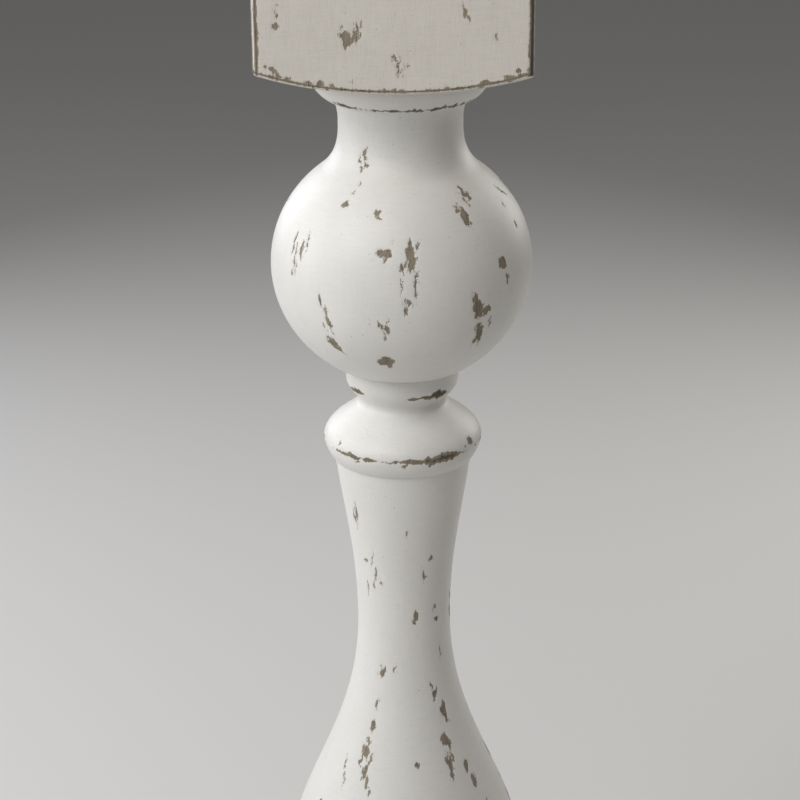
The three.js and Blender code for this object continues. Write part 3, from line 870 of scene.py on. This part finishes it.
# A block with a turned shoulder on one end; shoulderUp turns it over
def squareBlock(node, look, shoulderUp, flakes):
    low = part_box(node)[0].z / mm
    height, edge = look["height"] + section["hairline"], look["edge"]
    rim, outward, beyond = squareLoop(square["side"], square["arris"])
    reach = np.linalg.norm(rim, axis=1)
    ease = square["ease"]
    inset = rim - outward * ease
    insetReach = np.linalg.norm(inset, axis=1)
    direction = inset / insetReach[:, None]
    sideStart = pommelDrop(reach) + ease
    rings, fromArris = [], []
    for share in np.linspace(0, 1, square["shoulderRows"]):
        radius = flare["radius"] + (insetReach - flare["radius"]) * share
        rings.append(np.column_stack([direction * radius[:, None], pommelDrop(radius)]))
        fromArris.append(-(insetReach - radius) - ease * 1.5)
    for share in (0.25, 0.5, 0.75):
        bend = (1 - share) ** 2 * atHeight(inset, pommelDrop(insetReach))
        bend = bend + 2 * share * (1 - share) * atHeight(rim, pommelDrop(reach))
        rings.append(bend + share**2 * atHeight(rim, sideStart))
        fromArris.append(np.full(len(rim), -ease * 1.5 * (1 - share)))
    for share in finerAtEnds(1, *square["sideRows"]):
        rings.append(atHeight(rim, sideStart + (height - edge - sideStart) * share))
        fromArris.append((height - edge - sideStart) * share)
    for angle in np.linspace(0, math.pi / 2, 6)[1:]:
        eased = rim - outward * edge * (1 - math.cos(angle))
        rings.append(atHeight(eased, height - edge + edge * math.sin(angle)))
        fromArris.append(np.full(len(rim), square["unworn"]))
    outerRows = len(rings)
    for share in square["endRows"]:
        level = (rim - outward * edge) * (1 - share) + rim / reach[:, None] * look["pocket"] * share
        rings.append(atHeight(level, height))
        fromArris.append(np.full(len(rim), square["unworn"]))
    rings = np.stack(rings)
    points = rings.reshape(-1, 3)
    fromArris = np.concatenate(fromArris)
    beside = np.tile(beyond, len(rings))
    half = square["side"] / 2
    field = flakeField(points, [onFace(half, 0, *flake) for flake in flakes])
    field = np.maximum(field, rubbedLine(points, fromArris, look["lowerRub"]))
    # uprights are worn from the bend below the shoulder to the far arris
    walls = slice((square["shoulderRows"] + 1) * len(rim), outerRows * len(rim))
    field[walls] = np.maximum(field[walls], rubbedUpright(points[walls], beside[walls], look["uprightRub"]))
    field[: square["plainRows"] * len(rim)] = distressed["whole"]
    inward = np.clip(half - edge * 0.6 - np.abs(points[:, :2]).max(axis=1), 0, None)
    fromEnd = np.abs(points[:, 2] - (height - edge * 0.35)) + inward
    field = np.maximum(field, rubbedLine(points, fromEnd, look["upperRub"]))
    shape = sunken(rings, field)
    bore, spigot, floor = section["bore"], section["spigot"], section["socketDepth"]
    if shoulderUp:
        end = -section["spigotLength"]
        hidden = [(bore, height), (bore, end), (spigot, end), (spigot, 0)]
    else:
        pocketFloor = height - look["pocketDepth"]
        socket = spigot + section["clearance"]
        hidden = [(look["pocket"], height), (look["pocket"], pocketFloor), (bore, pocketFloor),
                  (bore, floor), (socket, floor), (socket, 0)]
    unit = rim / reach[:, None]
    inner = [atHeight(unit * radius, level) for radius, level in hidden]
    inner.append(atHeight(direction * flare["radius"], 0))
    inner[0] = rings[-1]
    for part in (shape, *inner):
        if shoulderUp:
            part[..., 2] = height - part[..., 2]
        part[..., 2] += low
    inner[0] = shape[-1]
    inner[-1] = shape[0]
    shell = Shell()
    shell.loft(shape, wear=field)
    shell.loft(inner)
    shell.build(node, squarePaint, "painted_wood")


def scatteredOnFaces(seed, count, sides, height, half):
    chance = np.random.default_rng(seed)
    places, heights, widths, lean = (8 - half, half - 8), (12, height - 6), (1.3, 4.5), 10
    flakes = []
    for side in sides:
        for flake in scattered(int(chance.integers(1000)), count, places, heights, widths, lean):
            flakes.append((side, *flake))
    return flakes


wornArris = {"onward": 0.3, "behind": 0.4, "ragged": 0.5, "patches": 2.6, "bare": 0.25, "sharp": 14}
wornUpright = {
    "starts": (0.1, 1.1, 0.5, 0.3),  # mm round each bend: left front, right front, left back, right back
    "ends": (1.8, 3.5, 3.5, 2.0),
    "ragged": 0.6,
    "patches": 2.4,
    "bare": 0.25,
    "sharp": 6,
}


topBlock = {
    "height": 112,
    "edge": 2.5,
    "pocket": 14.5,
    "pocketDepth": 20,
    "flakes": [
        # across, height, width, length, lean, taper
        (-20.6, 27.5, 5.0, 8.5, 0, -0.5), (-22.5, 33, 1.6, 3.4), (-16.8, 30, 1.3, 8.5, 4),
        (-14.9, 31.5, 1.2, 9, -4), (-24.6, 31, 1.0, 3), (0.6, 19.5, 2.2, 2.6), (2.6, 16, 1.3, 6.5, -6),
        (4.4, 13.5, 1.2, 5), (6.4, 17, 1.1, 4.5), (-52.6, 33.5, 2.8, 3.2), (-53, 39, 1.3, 3),
        (-52, 43, 1.6, 1.6), (32.5, 41, 1.5, 5.5, 14), (34.5, 38, 1.0, 3, 14), (30.5, 43, 1.1, 2),
        (47.5, 30, 1.0, 4.6), (-17, 11, 1.0, 1.0), (-18.5, 8, 1.0, 1.4), (-30, 5, 2.2, 1.2),
        (-42, 8, 3.0, 1.3), (-54.5, 14, 5, 2.6, -20), (-51.5, 11.5, 5.5, 2.8, -25),
        (-48.2, 9.2, 4, 2.2, -15), (-57.6, 15.8, 1.8, 1.4), (-53, 10.5, 1.4, 3.4),
        (-38.5, 7.6, 5.4, 1.8, -8), (-35, 6.6, 3.4, 1.4), (57, 13.5, 3.2, 2.6, 20), (40, 6.5, 3.4, 2.2),
        (52, 10.5, 3.2, 2.4, -20), (22, 66, 3.5, 8), (-34, 78, 2.4, 9, 8), (44, 90, 3.0, 5), (-8, 96, 2, 6),
        (8, 52, 1.4, 6),
    ],
    "backFlakes": 9,
    "lowerRub": {**wornArris, "seed": 41},
    "uprightRub": {**wornUpright, "seed": 47},
    "upperRub": {"onward": 0.5, "behind": 0.9, "ragged": 0.7, "patches": 2.4, "bare": 0.2, "sharp": 3,
                 "seed": 52},
}
halfBlock = square["side"] / 2
backFlakes = scatteredOnFaces(71, topBlock["backFlakes"], (1, 2, 3), topBlock["height"], halfBlock)
frontFlakes = [(0, *flake) for flake in topBlock["flakes"]]
squareBlock("top_block", topBlock, False, frontFlakes + backFlakes)

baseBlock = {
    "height": 92,
    "edge": 1.5,
    "pocket": 5.6,
    "flakesPerSide": 9,
    "lowerRub": {**wornArris, "seed": 61},
    "uprightRub": {**wornUpright, "seed": 67},
    "upperRub": {"onward": 0.1, "behind": 0.4, "ragged": 0.6, "patches": 1.6, "bare": 0.3, "sharp": 3,
                 "seed": 72},
}
squareBlock("base_block", baseBlock, True,
            scatteredOnFaces(83, baseBlock["flakesPerSide"], (0, 1, 2, 3), baseBlock["height"], halfBlock))

plinthScrew = {"inset": 26, "length": 42, "shank": 2.4, "head": 4.8, "headHeight": 3, "sink": 5}
plinth = {
    "side": 178,
    "height": 22,
    "edge": 5,
    "corner": 6,
    "border": 30,  # how far in from the edge the top is seen
    "pocket": 14.5,
    "pocketDepth": 14,
    "flakesPerSide": 5,
    "topFlakes": 26,
    "topAcross": (-80, 80),
    "topInward": (66, 82),
    "topWidths": (1.2, 3.6),
    "topLengths": (1.5, 5),
    "pilot": 20,  # mm up to which the screws' holes reach
    "edgeRub": {"onward": 0.3, "behind": 0.9, "ragged": 0.8, "patches": 3.0, "bare": 0.2, "sharp": 2.6,
                "seed": 91},
}
screwPlace = halfBlock - plinthScrew["inset"]
screwPlaces = [(x * screwPlace, y * screwPlace) for x, y in ((1, 1), (-1, 1), (-1, -1), (1, -1))]


def basePlinth():
    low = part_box("base_plinth")[0].z / mm
    height, edge = plinth["height"] + section["hairline"], plinth["edge"]
    rim, outward, beyond = squareLoop(plinth["side"], plinth["corner"])
    rings = []
    for angle in np.linspace(-90, 0, 9):
        turn = math.radians(angle)
        rings.append(atHeight(rim - outward * edge * (1 - math.cos(turn)), edge + edge * math.sin(turn)))
    for level in np.linspace(edge, height - edge, 12)[1:]:
        rings.append(atHeight(rim, level))
    for angle in np.linspace(0, 90, 9)[1:]:
        turn = math.radians(angle)
        eased = rim - outward * edge * (1 - math.cos(turn))
        rings.append(atHeight(eased, height - edge + edge * math.sin(turn)))
    inner = rim - outward * edge
    for inward in np.linspace(0, plinth["border"], 26)[1:]:
        share = 1 - inward / (plinth["side"] / 2 - edge)
        rings.append(atHeight(inner * share, height))
    rings = np.stack(rings)
    points = rings.reshape(-1, 3)
    half = plinth["side"] / 2
    chance = np.random.default_rng(97)
    flakes = scatteredOnFaces(98, plinth["flakesPerSide"], (0, 1, 2, 3), height, half)
    placed = [onFace(half, 0, *flake) for flake in flakes]
    for _ in range(plinth["topFlakes"]):
        side = chance.integers(4)
        across, inward = chance.uniform(*plinth["topAcross"]), chance.uniform(*plinth["topInward"])
        turn = math.pi / 2 * side
        outwards = np.array([math.sin(turn), -math.cos(turn), 0])
        sideways = np.array([math.cos(turn), math.sin(turn), 0])
        middle = outwards * inward + sideways * across + np.array([0, 0, height])
        shape = flakeShape(chance.uniform(*plinth["topWidths"]), chance.uniform(*plinth["topLengths"]))
        placed.append((middle, sideways, outwards, *shape))
    field = flakeField(points, placed)
    inward = np.clip(half - edge - np.abs(points[:, :2]).max(axis=1), 0, None)
    fromUpper = np.abs(points[:, 2] - (height - edge * 0.4)) + inward
    field = np.maximum(field, rubbedLine(points, fromUpper - 0.2, plinth["edgeRub"]))
    fromLower = np.abs(points[:, 2] - edge * 0.4)
    lowerRub = {**plinth["edgeRub"], "onward": 0.1, "patches": 1.6}
    field = np.maximum(field, rubbedLine(points, fromLower, lowerRub))
    shape = sunken(rings, field)
    shape[..., 2] += low
    shell = Shell()
    shell.loft(shape, wear=field)
    head = plinthScrew["head"] + section["clearance"]
    shank = plinthScrew["shank"] + section["clearance"]
    holes = [circle(head, low, 40, place) for place in screwPlaces]
    shell.plate(shape[0], [circle(plinth["pocket"], low, 64), *holes])
    shell.plate(shape[-1], [circle(section["bore"], low + height, 64)])
    pocket = [(plinth["pocket"], 0), (plinth["pocket"], plinth["pocketDepth"]),
              (section["bore"], plinth["pocketDepth"]), (section["bore"], height)]
    shell.loft([circle(radius, low + level, 64) for radius, level in pocket])
    sink, pilot = plinthScrew["sink"], plinth["pilot"]
    shoulder = sink + plinthScrew["headHeight"]
    drilled = [(head, 0), (head, sink), (shank, shoulder), (shank, pilot), (0.01, pilot)]
    for place in screwPlaces:
        shell.loft([circle(radius, low + level, 40, place) for radius, level in drilled])
        shell.plate(circle(0.01, low + pilot, 40, place))
    shell.build("base_plinth", squarePaint, "painted_wood")


basePlinth()


# A plain solid of revolution about an upright axis, from an outline that starts and ends near the axis
def turnedSolid(node, outline, around, material, slot, middle=(0, 0)):
    shell = Shell()
    rings = [circle(max(radius, 0.02), height, around, middle) for radius, height in outline]
    shell.loft(rings)
    shell.plate(rings[0])
    shell.plate(rings[-1])
    shell.build(node, material, slot)


panScrew = {"circle": 36, "count": 3, "length": 20, "shank": 1.8, "head": 3.8, "headHeight": 2.4}
pan = {
    "radius": 59,
    "sheet": 2,
    "rim": 10,
    "bend": 4.5,
    "lip": 1,
    "seat": 10,
    "seatDepth": 0.5,
    "hole": 3.5,
    "beaten": 0.12,
    "around": 240,
}
panPlaces = []
for turn in range(panScrew["count"]):
    angle = math.pi / 2 + 2 * math.pi * turn / panScrew["count"]
    panPlaces.append((panScrew["circle"] * math.cos(angle), panScrew["circle"] * math.sin(angle)))


# The pan: sheet iron turned up at the rim, with a pressed seat and countersunk holes in its floor
def candlePan():
    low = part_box("candle_pan")[0].z / mm
    bendAt = pan["radius"] - pan["bend"]
    outside = arc((bendAt, pan["bend"]), (pan["bend"], pan["bend"]), -90, 0, 0.5)
    lip = arc((pan["radius"] - pan["lip"], pan["rim"] - pan["lip"]), (pan["lip"], pan["lip"]), 0, 180, 0.25)
    innerBend = pan["bend"] - pan["sheet"]
    inside = arc((bendAt, pan["bend"]), (innerBend, innerBend), 0, -90, 0.5)
    wall = joined(outside, evenly([outside[-1], lip[0]], 1), lip, evenly([lip[-1], inside[0]], 1), inside)
    around = pan["around"]

    rings = []
    for radius, height in wall:  # a little out of true, as hand-raised work is
        loop = circle(radius, low + height, around)
        wave = softNoise(loop * np.array([1, 1, 0.2]), 16, 3) * pan["beaten"] * min(1, height / pan["rim"])
        dent = loop[:, :2] / radius * np.abs(wave)[:, None]
        rings.append(loop - np.column_stack([dent, np.zeros(around)]))
    shell = Shell()
    shell.loft(rings)
    head = panScrew["head"] + section["clearance"]
    through = head - (panScrew["head"] - panScrew["shank"]) * pan["sheet"] / panScrew["headHeight"]
    wide = [circle(head, low + pan["sheet"], 40, place) for place in panPlaces]
    narrow = [circle(through, low, 40, place) for place in panPlaces]
    for upper, lower in zip(wide, narrow):
        shell.loft([upper, lower])
    seatTop = pan["sheet"] - pan["seatDepth"]
    seat = [(pan["seat"], pan["sheet"]), (pan["seat"] - 0.15, pan["sheet"] - 0.15),
            (pan["seat"] - 0.5, seatTop), (pan["hole"], seatTop), (pan["hole"], 0)]
    seatRings = [circle(radius, low + height, 64) for radius, height in seat]
    shell.loft(seatRings)
    shell.plate(rings[-1], [seatRings[0], *wide])
    shell.plate(rings[0], [seatRings[-1], *narrow])
    shell.build("candle_pan", iron, "iron")


candlePan()

spike = {
    "tail": (4.8, 2.6),
    "tailEdge": 1.6,
    "stem": 3.2,
    "flange": 8,
    "flangeThickness": 1,
    "flangeEdge": 0.45,
    "root": 4.6,
    "rootFlare": 1.2,
    "rootHeight": 5,
    "radius": 4,
    "tip": (0.75, 1.6),  # radius where the point starts, and the point's length
    "height": 40,
    "around": 72,
}


def candleSpike():
    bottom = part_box("candle_spike")[0].z / mm
    floor = bottom + spike["tail"][1]
    seat = floor + pan["sheet"] - pan["seatDepth"] + 0.05
    top = floor + pan["sheet"] + spike["height"]
    flangeTop = seat + spike["flangeThickness"] + 0.25
    tailRadius, tailEdge, edge = spike["tail"][0], spike["tailEdge"], spike["flangeEdge"]
    coneStart = (spike["radius"], flangeTop + spike["rootHeight"])
    coneEnd = (spike["tip"][0], top - spike["tip"][1])
    flared = spike["rootFlare"]
    head = arc((tailRadius - tailEdge, bottom + tailEdge), (tailEdge, tailEdge), -90, 0, 0.4)
    flangeEdge = arc((spike["flange"] - edge, flangeTop - edge), (edge, edge), 0, 90, 0.15)
    root = curve((spike["root"] + flared, flangeTop), (-flared, 0.1), coneStart, (0.1, -2), 0.5)
    cone = evenly([coneStart, coneEnd], 1.5)
    point = curve(coneEnd, (-0.1, 0.8), (0.02, top), (0.25, 0), 0.2)
    outline = joined([(0.02, bottom)], head, [(tailRadius, floor - 0.1), (spike["stem"], floor - 0.1)],
                     [(spike["stem"], seat), (spike["flange"] - 0.1, seat)], flangeEdge, root, cone, point)
    turnedSolid("candle_spike", outline, spike["around"], iron, "iron")


candleSpike()


recess = {"arm": 0.62, "width": 0.13, "depth": 0.65, "taper": 0.45}  # shares of the head's size
thread = {"pitch": 0.9, "depth": 0.28}  # shares of the shank's radius


def crossLoop(height, scale, middle, arm, width):
    turns = []
    for quarter in range(4):
        turn = math.pi / 2 * quarter
        for x, y in ((arm, -width), (arm, width), (width, width)):
            x, y = x * scale, y * (scale if abs(y) == arm else 1) * (0.8 + 0.2 * scale)
            turns.append((middle[0] + x * math.cos(turn) - y * math.sin(turn),
                          middle[1] + x * math.sin(turn) + y * math.cos(turn), height))
    return np.array(turns)


# A wood screw with a cross recess and a cut thread, from its head's face on into the wood
def woodScrew(node, screw, headAt, downward, middle):
    sign = -1 if downward else 1
    shell = Shell()
    around = 40
    rim = circle(screw["head"] - 0.15, headAt, around, middle)
    arm, width = screw["head"] * recess["arm"], screw["head"] * recess["width"]
    face = crossLoop(headAt, 1, middle, arm, width)
    deep = headAt + sign * screw["headHeight"] * recess["depth"]
    floor = crossLoop(deep, recess["taper"], middle, arm, width)
    shell.plate(rim, [face])
    shell.loft([face, floor])
    shell.plate(floor)
    rows = [(screw["head"], 0.2), (screw["shank"], screw["headHeight"])]
    rings = [rim] + [circle(radius, headAt + sign * depth, around, middle) for radius, depth in rows]
    pitch = screw["shank"] * thread["pitch"]
    threadStart, threadEnd = screw["headHeight"] + 2, screw["length"] - screw["shank"] * 2
    turns = np.arange(around) / around
    for depth in np.arange(threadStart, threadEnd, pitch / 6):
        phase = (depth / pitch + turns) % 1
        radius = screw["shank"] * (1 - thread["depth"] * np.abs(2 * phase - 1))
        loop = circle(1, headAt + sign * depth, around)
        loop[:, :2] = loop[:, :2] * radius[:, None] + np.array(middle)
        rings.append(loop)
    rings.append(circle(0.05, headAt + sign * screw["length"], around, middle))
    shell.loft(rings)
    shell.plate(rings[-1])
    shell.build(node, zinc, "steel")


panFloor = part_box("candle_pan")[0].z / mm + pan["sheet"]
for i, place in enumerate(panPlaces):
    woodScrew(f"pan_screw_{i + 1}", panScrew, panFloor, True, place)
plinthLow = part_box("base_plinth")[0].z / mm
for i, place in enumerate(screwPlaces):
    woodScrew(f"plinth_screw_{i + 1}", plinthScrew, plinthLow + plinthScrew["sink"], False, place)

rod = {"radius": 5, "pitch": 1.5, "depth": 0.85, "threaded": 16, "around": 48, "chamfer": 1}


# Radius of a screw thread at a height, for each turn round from 0 to 1
def threadRadius(outer, height, turns):
    phase = (height / rod["pitch"] + turns) % 1
    return outer - rod["depth"] * np.abs(2 * phase - 1)


def tieRod():
    low, high = (corner.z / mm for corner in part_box("tie_rod"))
    around = rod["around"]
    turns = np.arange(around) / around
    levels = np.concatenate([np.arange(low, low + rod["threaded"], rod["pitch"] / 6),
                             [low + rod["threaded"] + 1, high - rod["threaded"] - 1],
                             np.arange(high - rod["threaded"], high, rod["pitch"] / 6), [high]])
    rings = []
    for level in levels:
        fromEnd = min(level - low, high - level)
        most = rod["radius"] - max(0, rod["chamfer"] - fromEnd)
        radius = np.full(around, most - 0.3)
        if fromEnd < rod["threaded"]:
            radius = np.minimum(threadRadius(rod["radius"], level, turns), most)
        loop = circle(1, level, around)
        loop[:, :2] *= radius[:, None]
        rings.append(loop)
    shell = Shell()
    shell.loft(rings)
    shell.plate(rings[0])
    shell.plate(rings[-1])
    shell.build("tie_rod", zinc, "steel")


tieRod()

nut = {"across": 17, "chamfer": 0.9, "cone": 1.75, "bore": 5.1, "mouth": (5.6, 0.5), "around": 96}


def hexNut(node):
    low, high = (corner.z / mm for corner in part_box(node))
    around = nut["around"]
    angles = np.linspace(0, 2 * np.pi, around, endpoint=False)
    directions = np.column_stack([np.cos(angles), np.sin(angles)])
    flats = nut["across"] / 2 / np.cos((angles + math.pi / 6) % (math.pi / 3) - math.pi / 6)
    rings = []
    for level in (low, low + 0.3, low + 0.6, low + nut["chamfer"], (low + high) / 2, high - nut["chamfer"],
                  high - 0.6, high - 0.3, high):
        coned = nut["across"] / 2 - 0.2 + min(level - low, high - level) * nut["cone"]
        radius = np.minimum(flats, coned)
        rings.append(atHeight(radius[:, None] * directions, level))
    wide, deep = nut["mouth"]
    for radius, level in ((wide, high), (nut["bore"], high - deep), (nut["bore"], low + deep), (wide, low)):
        rings.append(atHeight(radius * directions, level))
    shell = Shell()
    shell.loft(rings, closed=True)
    shell.build(node, zinc, "steel", sharp=30)


washer = {"outer": 10.5, "inner": 5.4, "ease": 0.35, "cut": (0.1, 0.12), "around": 72}


def flatWasher(node):
    low, high = (corner.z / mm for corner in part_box(node))
    outer, inner, ease = washer["outer"], washer["inner"], washer["ease"]
    inward, onward = washer["cut"]
    outline = [(inner, low), (outer - ease, low), (outer - inward, low + onward), (outer, low + ease),
               (outer, high - ease), (outer - inward, high - onward), (outer - ease, high), (inner, high)]
    shell = Shell()
    shell.loft([circle(radius, height, washer["around"]) for radius, height in outline], closed=True)
    shell.build(node, zinc, "steel")


for end in ("bottom", "top"):
    hexNut("rod_nut_" + end)
    flatWasher("rod_washer_" + end)

pad = {
    "radius": 11,
    "edge": 0.9,
    "tread": [(0.02, 0.5), (2.2, 0.5), (2.8, 0), (6.4, 0), (6.8, 0.5), (7.6, 0.5), (8.0, 0)],
    "around": 72,
}


# A moulded rubber foot: a rounded tread with a ring groove and a shallow dimple
def footPad(node):
    low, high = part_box(node)
    middle = ((low.x + high.x) / 2 / mm, (low.y + high.y) / 2 / mm)
    z, top = low.z / mm, high.z / mm + section["hairline"]
    radius, edge = pad["radius"], pad["edge"]
    tread = [(reach, z + rise) for reach, rise in pad["tread"]]
    rounded = arc((radius - edge, z + edge), (edge, edge), -90, -5, 0.25)
    outline = joined(tread, rounded, [(radius - 0.3, top), (0.02, top)])
    turnedSolid(node, outline, pad["around"], rubber, "rubber", middle)


for number in range(1, 5):
    footPad(f"foot_pad_{number}")

floor = {"side": 14000, "colour": (0.74, 0.73, 0.71), "roughness": 0.65}


def addFloor():
    material, start, place = newMaterial("paleFloor")
    finishWith(start, floor["colour"], floor["roughness"], place.noise(30, 2) * 0.05)
    mesh = bpy.data.meshes.new("floor")
    half = floor["side"] / 2 * mm
    corners = [(-half, -half, 0), (half, -half, 0), (half, half, 0), (-half, half, 0)]
    mesh.from_pydata(corners, [], [(0, 1, 2, 3)])
    mesh.materials.append(material)
    ground = bpy.data.objects.new("floor", mesh)
    bpy.context.scene.collection.objects.link(ground)


addFloor()
